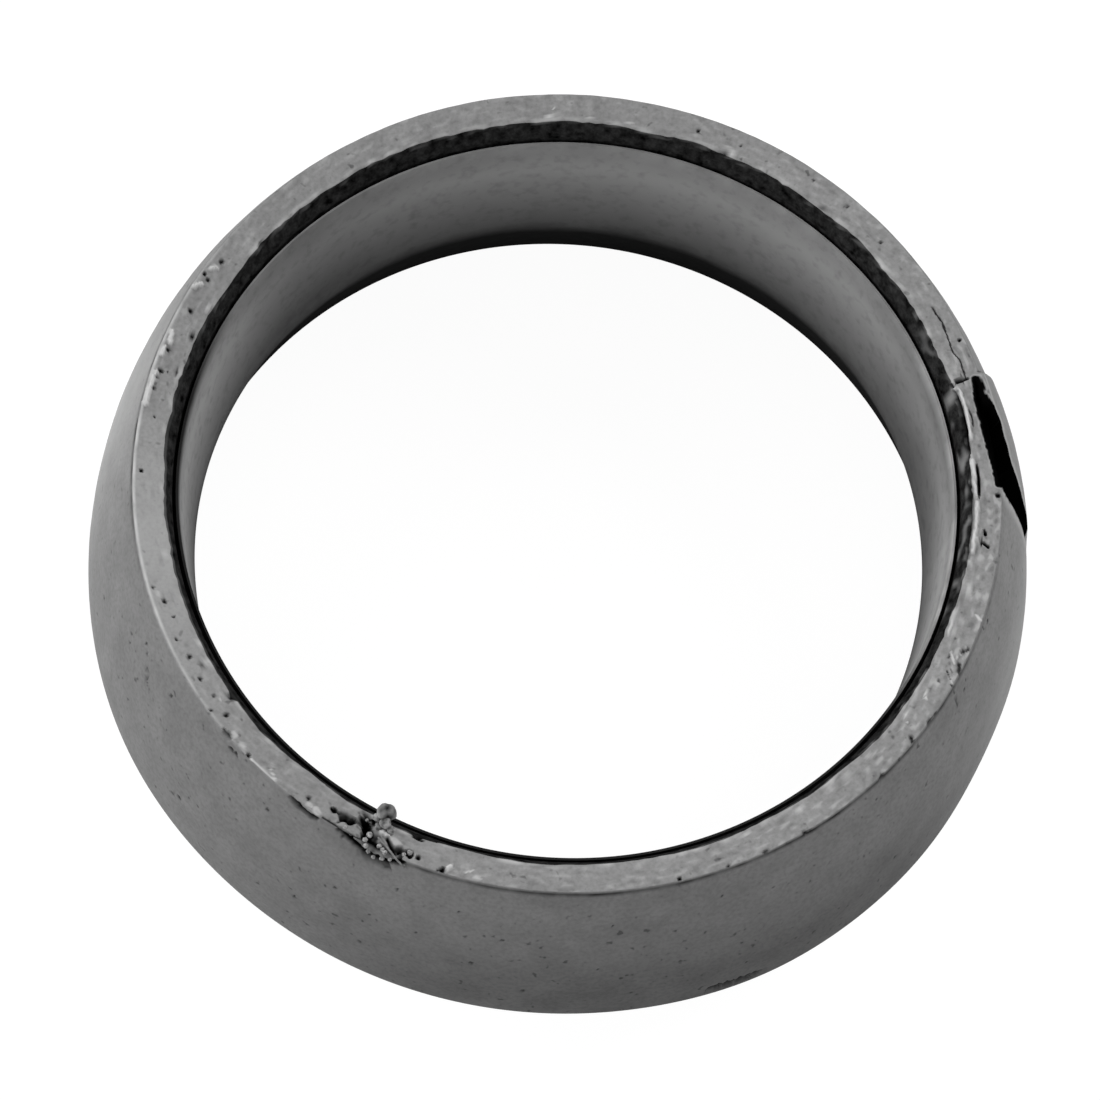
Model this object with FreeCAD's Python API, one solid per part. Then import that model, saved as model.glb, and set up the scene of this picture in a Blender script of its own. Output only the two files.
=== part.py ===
"""Exhaust gasket: one pressed ring that seals a ball-and-cone exhaust joint.

The ring stands on its wide end. Its axis is +Z, its flat seat face is z = 0, and angles
run anticlockwise from +X seen from above. The narrow end, the nose, carries a flat land.
Everything is in millimetres.
"""
import FreeCAD, Part
import math
import os

Vector = FreeCAD.Vector

# The ring
PIPE_DIAMETER = 50.8
BORE_CLEARANCE = 0.2
BORE_RADIUS = (PIPE_DIAMETER + BORE_CLEARANCE) / 2
HEIGHT = 20.2
WIDEST_RADIUS = 32.9
WIDEST_Z = 6.2
NOSE_RADIUS = 28.2
WALL_BULGE = 0.63
WIDEST_ROUNDING = 1.3
NOSE_ROUNDING = 0.4

# The wide end: flat seat between a hidden back taper and the flared mouth of the bore
SEAT_OUTER_RADIUS = 30.0
SEAT_INNER_RADIUS = 27.7
SEAT_ROUNDING = 0.5
FLARE_Z = 6.6

# The rim at the nose: dished land, steep chamfer, and the gap behind the liner's edge
LAND_INNER_RADIUS = 26.3
LAND_INNER_Z = 19.7
LINER_Z = 18.1
LINER_EDGE = 0.15
GAP_WIDTH = 0.25
GAP_DEPTH = 0.65
CHAMFER_FOOT_Z = 18.5

# The torn skin: a loose flap that stands proud, and the three-cornered pocket above it
FLAP_START = 4.6
FLAP_END = 23.5
FLAP_LIFT = 0.22
FLAP_FOOT_Z = 8.0
FLAP_TOP_Z = HEIGHT - 0.1
FLAP_ROOT = 0.8
POCKET_START = 2.6
POCKET_SWEEP = 20.0
POCKET_MIDDLE = 12.0
POCKET_SHOULDER_RADIUS = 27.72
POCKET_SHOULDER_Z = HEIGHT - 0.6
POCKET_FLOOR_RADIUS = 30.3
POCKET_FLOOR_Z = 11.5
POCKET_EDGE = ((20.2, 20.6), (17.0, 19.75), (15.4, 19.9), (13.9, 19.2), (13.4, 17.5),
               (11.0, 16.3), (9.3, 16.7), (6.8, 14.6), (4.1, 12.0), (4.1, 20.6))
CRACK_ANGLE = 20.6
CRACK_WIDTH = 0.24
CRACK_DEPTH = 0.6
CRACK_INNER_RADIUS = LAND_INNER_RADIUS - 0.5
CRACK_OUTER_RADIUS = 27.3

# The burst spot, as (angle, radius, size): round craters, crumbled pits, and grains left standing
CRATERS = ((248.4, 26.9, 0.72), (250.3, 27.75, 0.6))
PITS = ((245.9, 27.3, 0.55), (244.1, 27.3, 0.3), (254.3, 28.0, 0.6), (255.2, 26.4, 0.35))
GRAINS = ((249.5, 27.45, 0.42), (249.6, 27.95, 0.4), (250.5, 28.25, 0.42), (251.3, 27.95, 0.5),
          (252.2, 28.15, 0.4), (251.2, 27.0, 0.55), (253.9, 27.8, 0.36))

# The round lump over the bore's edge and the shard it grows from, as (angle, radius, height, size)
LUMP = (250.2, 25.9, 20.35, 0.7)
LUMP_FOOT = (250.5, 26.5, 19.85, 0.9)

# A wire strand pulled out of the mesh, from its root to its raised end, as (angle, radius)
STRAND_START = (250.7, 27.2)
STRAND_END = (254.8, 28.4)
STRAND_SIZE = 0.28
STRAND_DROP = 1.5 * STRAND_SIZE

# Chips as (angle, radius, size): outer corner of the nose, then inner edge of the land
OUTER_CHIPS = ((227.0, 28.3, 0.75), (229.3, 28.4, 0.6), (240.9, 28.2, 0.8), (234.5, 28.35, 0.4),
               (260.0, 28.15, 0.5), (301.2, 28.35, 0.45), (306.8, 28.4, 0.35), (313.6, 28.35, 0.45),
               (319.2, 28.3, 0.35), (325.7, 28.1, 0.4), (77.0, 28.4, 0.5), (337.6, 28.2, 0.55))
INNER_CHIPS = ((72.0, 26.2, 0.7), (55.6, 26.25, 0.6), (98.9, 26.35, 0.5), (37.6, 26.15, 0.65),
               (222.5, 26.25, 0.6), (155.6, 27.6, 0.4), (210.5, 26.3, 0.5), (263.5, 26.3, 0.4),
               (137.2, 26.2, 0.55), (121.5, 26.3, 0.5), (336.8, 26.3, 0.6))
RIM_CHIP_START = 293.6
RIM_CHIP_SWEEP = 5.3
RIM_CHIP_DEPTH = 0.3

# How crumbled graphite breaks: a cube's two tilts, its turn for each degree round the ring, and
# how far craters, chips and grains stand above or below the face, as shares of their size
SHARD_TILT_X = 38
SHARD_TILT_Y = 31
SHARD_TURN = 7
CRATER_RISE = 0.25
CHIP_SINK = 0.2
GRAIN_SINK = 1 / 6

# How far cutting tools run past the faces they cut
PAST = 1.5


def polar(radius, angle, z):
    """The point at a radius and an angle in degrees about the axis."""
    turn = math.radians(angle)
    return Vector(radius * math.cos(turn), radius * math.sin(turn), z)


def line(start, end):
    return Part.LineSegment(Vector(start[0], 0, start[1]), Vector(end[0], 0, end[1])).toShape()


def arc(start, middle, end):
    points = [Vector(r, 0, z) for r, z in (start, middle, end)]
    return Part.Arc(*points).toShape()


def turned(edges, start=0.0, sweep=360.0):
    """The solid that a closed section in the XZ plane sweeps about the axis."""
    section = Part.Face(Part.Wire(edges))
    solid = section.revolve(Vector(0, 0, 0), Vector(0, 0, 1), sweep)
    solid.rotate(Vector(0, 0, 0), Vector(0, 0, 1), start)
    return solid


def lines(points):
    """The straight edges that join a row of section points."""
    return [line(start, end) for start, end in zip(points, points[1:])]


def turned_outline(points, start, sweep):
    return turned(lines(list(points) + [points[0]]), start, sweep)


def wall_middle(lift=0.0):
    """The point halfway up the bulging conical wall, lifted off it by a distance."""
    radius = (NOSE_RADIUS + WIDEST_RADIUS) / 2 + WALL_BULGE + lift
    return radius, (HEIGHT + WIDEST_Z) / 2


def wall_radius(z):
    """The radius of the outer wall at a height, on the circle through its three points."""
    wall = Part.Circle(Vector(NOSE_RADIUS, HEIGHT, 0), Vector(*wall_middle(), 0),
                       Vector(WIDEST_RADIUS, WIDEST_Z, 0))
    centre = wall.Center
    return centre.x + math.sqrt(wall.Radius ** 2 - (z - centre.y) ** 2)


def rounding(before, corner, after, radius):
    """Start, middle and end of a section's corner once it is worn round to a radius."""
    before, corner, after = [Vector(r, z, 0) for r, z in (before, corner, after)]
    incoming = (corner - before).normalize()
    outgoing = (after - corner).normalize()
    half_turn = incoming.getAngle(outgoing) / 2
    reach = radius * math.tan(half_turn)
    inwards = (outgoing - incoming).normalize()
    start = corner - incoming * reach
    middle = corner + inwards * (radius / math.cos(half_turn) - radius)
    end = corner + outgoing * reach
    return [(point.x, point.y) for point in (start, middle, end)]


def land_z(radius):
    """The height of the dished land at a radius."""
    share = (radius - LAND_INNER_RADIUS) / (NOSE_RADIUS - LAND_INNER_RADIUS)
    return LAND_INNER_Z + share * (HEIGHT - LAND_INNER_Z)


def plain_ring():
    """The ring as it leaves the press: bulging cone outside, straight bore inside."""
    gap_inner = BORE_RADIUS + LINER_EDGE
    gap_outer = gap_inner + GAP_WIDTH
    gap_floor = LINER_Z - GAP_DEPTH
    seat_inner = (SEAT_INNER_RADIUS, 0)
    seat_outer = (SEAT_OUTER_RADIUS, 0)
    widest = (WIDEST_RADIUS, WIDEST_Z)
    nose = (NOSE_RADIUS, HEIGHT)
    land_inner = (LAND_INNER_RADIUS, LAND_INNER_Z)
    step = 1
    wall_foot = (wall_radius(WIDEST_Z + step), WIDEST_Z + step)
    wall_top = (wall_radius(HEIGHT - step), HEIGHT - step)
    seat_round = rounding(seat_inner, seat_outer, widest, SEAT_ROUNDING)
    widest_round = rounding(seat_outer, widest, wall_foot, WIDEST_ROUNDING)
    nose_round = rounding(wall_top, nose, land_inner, NOSE_ROUNDING)
    under = [seat_inner, seat_round[0], seat_round[2], widest_round[0], widest_round[2]]
    over = nose_round + [land_inner, (gap_outer, CHAMFER_FOOT_Z), (gap_outer, gap_floor),
                         (gap_inner, LINER_Z), (BORE_RADIUS, LINER_Z), (BORE_RADIUS, FLARE_Z),
                         seat_inner]
    return turned(lines(under) + [arc(under[-1], wall_middle(), over[0])] + lines(over))


def loose_flap():
    """The torn skin: a crescent on the wall, proud at the nose and flush at its foot."""
    foot = (wall_radius(FLAP_FOOT_Z), FLAP_FOOT_Z)
    top = (wall_radius(FLAP_TOP_Z) + FLAP_LIFT, FLAP_TOP_Z)
    inner_top = (wall_radius(FLAP_TOP_Z) - FLAP_ROOT, FLAP_TOP_Z - FLAP_ROOT / 2)
    inner_foot = (foot[0] - FLAP_ROOT, foot[1])
    edges = [
        arc(foot, wall_middle(FLAP_LIFT), top),
        line(top, inner_top),
        line(inner_top, inner_foot),
        line(inner_foot, foot),
    ]
    return turned(edges, FLAP_START, FLAP_END - FLAP_START)


def torn_pocket():
    """The gap that the tear opened between the land's shoulder and the flap's ragged edge."""
    outline = []
    for angle, z in POCKET_EDGE:
        across = wall_radius(min(z, HEIGHT)) * math.sin(math.radians(angle - POCKET_MIDDLE))
        outline.append(Vector(0, across, z))
    face = Part.Face(Part.makePolygon(outline + [outline[0]]))
    prism = face.extrude(Vector(WIDEST_RADIUS + PAST, 0, 0))
    prism.rotate(Vector(0, 0, 0), Vector(0, 0, 1), POCKET_MIDDLE)
    top = HEIGHT + PAST
    outside = WIDEST_RADIUS + PAST
    band = ((POCKET_SHOULDER_RADIUS, top), (POCKET_SHOULDER_RADIUS, POCKET_SHOULDER_Z),
            (POCKET_FLOOR_RADIUS, POCKET_FLOOR_Z), (outside, POCKET_FLOOR_Z), (outside, top))
    reach = turned_outline(band, POCKET_START, POCKET_SWEEP)
    return prism.common(reach)


def land_crack():
    """The radial crack that runs from the tear across the land to the bore."""
    inner = CRACK_INNER_RADIUS
    top = HEIGHT + PAST
    floor = land_z(LAND_INNER_RADIUS) - CRACK_DEPTH
    half = CRACK_WIDTH * (top - floor) / (CRACK_DEPTH * 2)
    section = Part.makePolygon([Vector(inner, 0, floor), Vector(inner, half, top),
                                Vector(inner, -half, top), Vector(inner, 0, floor)])
    wedge = Part.Face(section).extrude(Vector(CRACK_OUTER_RADIUS - inner, 0, 0))
    wedge.rotate(Vector(0, 0, 0), Vector(0, 0, 1), CRACK_ANGLE)
    return wedge


def rim_chip():
    """The flake gone from the widest edge, under the near side."""
    z = WIDEST_Z + WIDEST_ROUNDING / 4
    outside = WIDEST_RADIUS + PAST
    inner = WIDEST_RADIUS - RIM_CHIP_DEPTH
    outline = ((inner, z), (outside, z - PAST), (outside, z + PAST))
    return turned_outline(outline, RIM_CHIP_START, RIM_CHIP_SWEEP)


def ball(angle, radius, z, size):
    return Part.makeSphere(size, polar(radius, angle, z))


def shard(angle, radius, z, size):
    """A small cube turned corner upwards: it cuts a crumbled chip, or stands as a grain."""
    cube = Part.makeBox(size, size, size, Vector(-size / 2, -size / 2, -size / 2))
    cube.rotate(Vector(0, 0, 0), Vector(1, 0, 0), SHARD_TILT_X)
    cube.rotate(Vector(0, 0, 0), Vector(0, 1, 0), SHARD_TILT_Y)
    cube.rotate(Vector(0, 0, 0), Vector(0, 0, 1), angle * SHARD_TURN)
    cube.translate(polar(radius, angle, z))
    return cube


def chip_tools():
    """What bites the craters, pits and chips out of the land and its two edges."""
    tools = []
    for angle, radius, size in CRATERS:
        tools.append(ball(angle, radius, land_z(radius) + size * CRATER_RISE, size))
    for angle, radius, size in PITS + INNER_CHIPS:
        tools.append(shard(angle, radius, land_z(radius), size))
    for angle, radius, size in OUTER_CHIPS:
        tools.append(shard(angle, radius, HEIGHT - size * CHIP_SINK, size))
    return tools


def burst_grains():
    """The round lump on its foot, the grains, and the strand that the burst left standing."""
    pieces = [shard(*LUMP_FOOT), ball(*LUMP)]
    for angle, radius, size in GRAINS:
        pieces.append(shard(angle, radius, land_z(radius) - size * GRAIN_SINK, size))
    start = polar(STRAND_START[1], STRAND_START[0], land_z(STRAND_START[1]))
    end = polar(STRAND_END[1], STRAND_END[0], HEIGHT - STRAND_DROP)
    run = end - start
    strand = Part.makeBox(STRAND_SIZE, STRAND_SIZE, run.Length, start, run)
    return pieces + [strand]


def seal_ring():
    ring = plain_ring().fuse(loose_flap())
    ring = ring.cut([torn_pocket(), land_crack(), rim_chip()])
    for tool in chip_tools():
        ring = ring.cut(tool)
    for piece in burst_grains():
        ring = ring.fuse(piece)
    return ring


os.makedirs("parts", exist_ok=True)
shape = seal_ring()
solids = shape.Solids
print("solids", len(solids), "valid", shape.isValid(), "faces", len(shape.Faces))
print("volume cm3", round(shape.Volume / 1000, 3), "box", shape.BoundBox)
solids[0].exportStep("parts/seal_ring.step")
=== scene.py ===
"""Looks of a worn exhaust ring gasket: one pressed ring of knitted steel wire and graphite.

The ring stands on its wide end with its axis along +Z. Shapes are worked out in millimetres in
ring coordinates: angle in degrees from +X, radius from the axis, and height over the seat face.
"""
import bmesh
import bpy
import math
import numpy as np
from mathutils import Matrix, Vector, noise


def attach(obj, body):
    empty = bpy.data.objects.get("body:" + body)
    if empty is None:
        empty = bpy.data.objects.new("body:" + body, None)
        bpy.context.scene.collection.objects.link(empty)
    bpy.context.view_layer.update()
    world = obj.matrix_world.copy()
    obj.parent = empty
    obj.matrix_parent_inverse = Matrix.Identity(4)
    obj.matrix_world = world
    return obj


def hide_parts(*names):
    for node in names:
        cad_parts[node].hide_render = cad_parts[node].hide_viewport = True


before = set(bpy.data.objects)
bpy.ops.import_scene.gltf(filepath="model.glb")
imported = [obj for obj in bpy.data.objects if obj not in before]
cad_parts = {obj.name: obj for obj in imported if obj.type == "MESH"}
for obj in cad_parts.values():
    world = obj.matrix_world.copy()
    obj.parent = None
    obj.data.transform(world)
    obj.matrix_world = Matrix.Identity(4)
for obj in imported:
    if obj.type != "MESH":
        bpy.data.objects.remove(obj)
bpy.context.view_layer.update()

MM = 0.001

# The photograph's view, in its own pixels and in millimetres
FRAME_PX = 1100
FOCAL_PX = 2393.6
VIEW_DISTANCE = 165.78
VIEW_ELEVATION = 67.905
VIEW_ROLL = -6.562
AIM_HEIGHT = 8.925
AIM_PX = (562.09, 532.51)
SENSOR_MM = 36
NEAREST_SEEN = 0.01

# The studio, in metres: the floor, and soft lamps as (name, azimuth, elevation, power).
# Azimuth 0 stands at the picture's right, 90 behind the ring
FLOOR_SIZE = 2
FLOOR_GLOW = 0.95
LAMP_SIZE = 0.8
LAMP_DISTANCE = 1.2
LAMPS = (("far_right_lamp", 45, 35, 8.6), ("far_left_lamp", 135, 35, 5.2), ("left_lamp", 180, 20, 6.8),
         ("near_left_lamp", 225, 20, 4.4), ("near_right_lamp", 315, 20, 4.7))
SKY_LEVEL = 0.16

# The ring's section
BORE_RADIUS = 25.5
HEIGHT = 20.2
WIDEST_RADIUS = 32.86
WIDEST_Z = 6.2
NOSE_RADIUS = 28.2
WALL_BULGE = 0.63
SEAT_OUTER_RADIUS = 30.0
SEAT_INNER_RADIUS = 27.7
FLARE_Z = 6.6
LAND_INNER_RADIUS = 26.3
LAND_INNER_Z = 19.7
LINER_Z = 18.1
LINER_EDGE = 0.15
GAP_WIDTH = 0.25
GAP_DEPTH = 0.65
CHAMFER_FOOT_Z = 18.5
GAP_OUTER = BORE_RADIUS + LINER_EDGE + GAP_WIDTH
CHAMFER_MIDDLE_RADIUS = GAP_OUTER + 0.2

# How far from each corner its rounding starts, and where the wall's finest rows start below the nose
SEAT_ROUNDING = 0.32
WIDEST_ROUNDING = 0.4
NOSE_ROUNDING = 0.12
LIP_ROUNDING = 0.1
SHOULDER_ROWS = 0.9

# How finely the ring is divided: once round, then more on the rim, the tear, the lip, marks and burst
STEPS_ROUND = 360
RIM_CUTS = 3
TEAR_CUTS = 3
LIP_CUTS = 1
MARK_CUTS = 3
BURST_CUTS = 1

# Where it is divided more: ranges of angle and height, and edges of the finer places.
# The finer rim lies over a line that slopes down outwards
FINE_RIM_Z = 28
FINE_RIM_SLOPE = 0.3
TEAR_ANGLES = (2.5, 25.5)
TEAR_HEIGHTS = (11, 20)
LIP_ANGLES = (-8.0, 32.0)
LIP_OUTER_RADIUS = 28.15
BURST_ANGLES = (241.0, 258.0)
BURST_LOW_Z = 19.3
RIM_CHIP_HEIGHTS = (5.0, 8.0)
MARK_MARGIN = 1
PIT_REACH = 0.6
EDGE_MARGIN = 0.1
SAME_ROW = 0.001
SAME_PLACE = 0.0001

# Where the finishes meet: the dark chamfer's outer edge past the gap, and the land's outer edge
CHAMFER_REACH = 0.45
LAND_OUTER_RADIUS = 28.17
SHARP_ANGLE = 40
WALL, LAND, BORE, CHAMFER_AND_GAP = range(4)

# The torn skin: the pocket's outline as (angle, way), where the way is the height up the wall and
# then on inwards over the land
TEAR = ((20.6, 20.62), (19.5, 20.55), (17.9, 20.6), (16.8, 20.5), (16.0, 20.3), (15.2, 20.05), (14.2, 19.3),
        (13.2, 19.5), (12.3, 19.4), (11.2, 18.9), (10.0, 18.7), (8.9, 18.2), (7.7, 16.9), (6.4, 15.3),
        (4.2, 11.9), (4.0, 16.0), (4.0, 19.0), (4.5, 20.4), (7.3, 20.56), (10.2, 20.76), (12.7, 20.86),
        (15.3, 20.88), (17.5, 20.86), (19.5, 20.7))
TEAR_RADIUS = 29.5
TEAR_REACH = 26
TEAR_LOW_Z = 10
TEAR_RAG = 0.07
SHOULDER_RADIUS = 27.2
FAR_AWAY = 9.0

# The pocket's floor, how its edge falls away, and the painted shade that runs past the edge and then fades
POCKET_FLOOR_RADIUS = 30.3
POCKET_FLOOR_Z = 10.5
POCKET_TOP_RADIUS = 27.9
POCKET_DROP = 1.4
POCKET_EDGE = (-0.02, 0.08)
TEAR_SHADE_EDGE = 0.19
TEAR_SHADE_FADE = 0.08

# How the loose flap stands: its two ends as angles, the far one slanting away as it goes down
FLAP_START = 4.4
FLAP_RISE = 0.6
FLAP_END = 21.3
FLAP_SLANT = 0.5
FLAP_FURTHEST = 24.6
FLAP_DROP = 0.2
FLAP_LIFT = 0.3
FLAP_FOOT_Z = 9.0
FLAP_FULL_Z = 14.0
FLAP_HINGE_RADIUS = 27.85
FLAP_FULL_RADIUS = 28.1

# What is rubbed by the tear, as distances from its edge between which the rub fades out
FLAP_RUB = (0.3, 1.2)
FLAP_RUB_END = 21
SHOULDER_RUB = (0.2, 0.32)

# The flake gone from the widest edge: from angle to angle, at a height
RIM_CHIP = (293.4, 299.0, 7.1)

# Grooves as (half width, height over the plain face, soot), and round spots the same way, with
# their half width and height for each millimetre of a spot's size
RIM_CHIP_GROOVE = (0.55, -0.4, 1.0)
SCRATCH_GROOVE = (0.1, -0.04, 0.6)
CRESCENT_GROOVE = (0.3, -0.3, 1.0)
BURST_GROOVE = (0.33, -0.2, 1.0)
LAND_PIT_SPOT = (1.25, -1.1, 1.0)
WALL_PIT_SPOT = (1.1, -0.4, 0.85)
WALL_CHIP_SPOT = (1.0, -0.6, 0.75)
GLINT_HEIGHT = 0.1
GLINT_SLANT = 0.3
GLINT_BARE = 0.6

# The ring is a little out of round on its low wall, as (angle, spread in degrees, radial change)
OUT_OF_ROUND = ((213, 16, 0.16), (300, 12, 0.12), (338, 11, -0.24))
OUT_OF_ROUND_RADIUS = WIDEST_RADIUS - 1.5

# Patterns, each as (size of its patches, an offset that makes it differ from the others)
FACE_WAVES = (2.4, 3.0)
FACE_CRUMBS = (0.7, 9.0)
LIP_WAVES = (3.2, 5.0)
LIP_TEETH = (0.55, 7.0)
PATCHES = (0.9, 11.0)
STREAKS = (0.3, 13.0)
# Patches in the wall's painted light and in its painted shade
WALL_LIGHT_CLOUDS = (1.6, 17.0)
WALL_SHADE_CLOUDS = (2.2, 19.0)
BORE_CLOUDS = (3.0, 23.0)
EDGE_RAG_SIZE = 0.3
OFFSET_SHARES = (1, 1.7, 2.3)

# The faces' unevenness on the outside, and the ragged inner lip of the land, calmer on the near side
FACE_WAVE_HEIGHT = 0.02
FACE_CRUMB_HEIGHT = 0.012
FACE_LOW_Z = WIDEST_Z + 1
LIP_WAVE_DEPTH = 0.16
LIP_TOOTH_DEPTH = 0.1
LIP_DROP = 0.12
LIP_WIDTH = 0.7
NEAR_CALM = 0.6

# How a mark's soft side starts inside its half width, how ragged it is, and how far it can reach
MARK_CORE = 0.35
MARK_RAG = 0.7
MARK_REACH = 1.6

# Where wear, painted highlights and painted shade sit over the section, as (middle, spread) of radius or
# height, and its lowest heights
# The nose's band here is a painted highlight on its rounded edge
NOSE_HIGHLIGHT_RADIUS = (28.12, 0.12)
NOSE_HIGHLIGHT_Z = (HEIGHT, 0.2)
# The crease is painted shade along a shallow groove
CREASE_RADIUS = (28.32, 0.09)
CREASE_Z = (19.98, 0.25)
CREASE_DEPTH = 0.06
LIP_RUB_RADIUS = (26.42, 0.16)
LIP_RUB_Z = 19.6
LINER_MARGIN = 0.05
LAND_MIDDLE_RADIUS = 27.0
LAND_LOW_Z = LAND_INNER_Z - 0.3
WALL_LOW_Z = 2

# Where wear, painted light and painted shade sit round the ring, as (middle angle, spread), or as angles
# between which it comes and goes
NEAR_SIDE = (285, 45)
# The painted highlight on the nose's edge at the left
LEFT_NOSE_HIGHLIGHT = (190, 34)
NEAR_CREASE = (298, 50)
LEFT_CREASE = (180, 20)
NEAR_AND_LEFT = ((150, 175), (325, 340))
RIGHT_SIDE = ((-25, -10), (20, 40))
RIGHT_RUB = (-20, 45)
LEFT_LAND_PALER = (198, 18)
# Painted light on the wall's left and right sides
LEFT_WALL_LIGHT = (172, 14)
RIGHT_WALL_LIGHT = (-10, 22)
# Painted shade low on the wall's near side
NEAR_WALL_SHADE = (293, 48)
BORE_SMUDGES = ((143, 16, 0.3), (20, 18, 0.33))

# How strong wear, painted light and painted shade are: a full share, or (share everywhere, share added where
# its pattern is full)
# Painted shade along the flap's step
STEP_SHADE = 0.8
FLAP_RUB_LEVEL = 0.5
SHOULDER_RUB_LEVEL = 0.7
NOSE_HIGHLIGHT_LEVELS = (0.45, 0.8)
CREASE_SHADE_LEVELS = (0.2, 0.9)
LIP_RUB_LEVEL = 0.7
LINER_SOOT_LEVEL = 0.9
# The bore skin's edge: wear and a painted highlight
LINER_RUB_AND_HIGHLIGHT_LEVELS = (0.25, 0.75)
CHAMFER_RUB_LEVEL = 0.7
STREAK_RUB_LEVELS = (0.2, 0.2)
STREAK_SOOT_LEVEL = 0.8
LEFT_LAND_PALER_LEVEL = 0.3
RIGHT_WALL_LIGHT_LEVEL = 0.3
WALL_LIGHT_CLOUD_LEVELS = (1, 0.25)
NEAR_WALL_SHADE_LEVELS = (0.05, 0.37)
WALL_SHADE_CLOUD_LEVELS = (1, 0.2)
BORE_CLOUD_LEVELS = (1, 0.3)

# The painted light on the wall's left side is strongest low down: its share at a height, and how much it loses
# a millimetre
LEFT_WALL_LIGHT_Z = 8
LEFT_WALL_LIGHT_LEVEL = 0.75
LEFT_WALL_LIGHT_FADE = 0.035

# Values of a pattern, or heights, between which wear, painted light and painted shade come in or fade
LIP_RUB_FROM = (0.45, 0.8)
CHAMFER_RUB_FROM = (0.5, 0.9)
STREAK_RUB_FROM = (0.1, 0.55)
STREAK_SOOT_FROM = (0.2, 0.6)
RIGHT_WALL_LIGHT_HEIGHTS = (10, 17)
NEAR_WALL_SHADE_HEIGHTS = (8.5, 18)
STREAK_LENGTH = 2.2
STREAK_DEPTH = 0.03

# Worn marks on the land, as rows of (angle, radius): each kind has its half width, its height
# over the land, and how sooty and how bare it is
LAND_MARKS = (
    (0.55, -0.2, 1.0, 0.0, (
        ((249.0, 27.3), (249.8, 27.9), (251.4, 28.15)),)),
    (0.3, -0.2, 0.8, 0.0, (
        ((245.0, 27.3), (246.8, 27.25)),
        ((252.0, 28.1), (253.4, 28.2)),
        ((253.6, 27.7), (255.4, 27.7)))),
    (0.2, -0.3, 1.0, 0.0, (
        ((251.9, 27.35), (253.2, 27.85), (254.4, 28.2)),
        ((253.9, 27.75), (255.5, 27.7)),
        ((247.6, 26.8), (248.9, 27.0), (249.1, 27.5)))),
    (0.12, -0.15, 1.0, 0.0, (
        ((243.4, 28.14), (247.0, 28.18), (250.6, 28.16)),
        ((259.3, 28.1), (259.9, 27.85)),
        ((254.8, 26.45), (256.2, 26.5)),
        ((245.4, 27.42), (246.9, 27.38)),
        ((243.6, 27.3), (244.6, 27.32)))),
    (0.3, -0.12, 0.65, 0.0, (
        ((19.4, 26.3), (15.0, 26.3), (10.5, 26.28)),
        ((4.5, 26.3), (0.0, 26.35), (353.5, 26.32)))),
    (0.12, -0.45, 1.0, 0.0, (
        ((20.2, 26.0), (20.9, 26.7), (20.9, 27.4)),
        ((18.6, 26.35), (15.0, 26.42), (12.3, 26.4), (9.5, 26.3)),
        ((7.4, 26.74), (5.2, 26.80), (3.2, 26.76)),
        ((356.2, 26.98), (355.9, 27.2), (355.6, 27.46)),
        ((357.6, 27.1), (357.2, 27.25)))),
    (0.2, -0.12, 0.9, 0.0, (
        ((337.9, 27.9), (337.1, 28.1), (336.5, 28.3)),
        ((339.7, 27.76), (340.3, 28.0)),
        ((325.3, 28.1), (325.7, 28.35)),
        ((328.8, 28.2), (330.3, 28.3)))),
    (0.06, -0.15, 0.85, 0.0, (
        ((20.9, 27.3), (23.9, 27.36), (25.4, 27.15), (27.3, 27.25), (30.1, 27.41), (33.6, 27.3)),
        ((16.0, 26.9), (14.6, 26.95), (13.6, 26.85)),
        ((172.5, 27.14), (171.8, 26.5)),
        ((336.4, 27.4), (335.5, 27.8), (334.7, 28.15)),
        ((336.9, 27.5), (336.2, 27.8)))),
    (0.1, 0.05, 0.0, 0.9, (
        ((339.6, 26.9), (337.8, 27.6)),
        ((335.8, 27.7), (334.9, 28.1)),
        ((345.2, 27.75), (344.7, 28.1)),
        ((341.3, 26.5), (343.6, 26.5)),
        ((332.5, 26.9), (331.4, 27.2)),
        ((328.0, 26.7), (327.2, 27.1)))),
    (0.2, 0.2, 0.0, 1.0, (
        ((20.1, 26.3), (19.2, 26.62), (16.4, 26.66), (12.0, 26.58)),
        ((8.4, 26.5), (5.6, 26.55), (2.9, 26.55)),
        ((1.8, 26.66), (358.8, 26.62), (354.5, 26.6)),
        ((155.2, 27.45), (155.7, 27.75)),
        ((250.7, 27.05), (251.8, 27.2)),
        ((260.1, 28.0), (260.6, 27.65)),
        ((158.4, 27.75), (159.2, 28.0)),
        ((166.6, 27.85), (168.3, 27.68)),
        ((169.2, 27.85), (170.4, 27.9)),
        ((173.0, 27.85), (175.4, 27.95), (178.2, 27.97)))),
    (0.07, -0.02, 0.0, 0.9, (
        ((99.4, 26.2), (98.9, 26.8), (98.3, 27.25)),
        ((340.6, 27.9), (338.0, 27.5)),
        ((71.4, 26.45), (70.2, 26.8)),
        ((235.7, 28.0), (234.2, 27.75)),
        ((231.4, 28.1), (233.8, 28.05), (235.7, 28.05)),
        ((262.4, 27.8), (263.6, 27.5)))),
)

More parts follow.
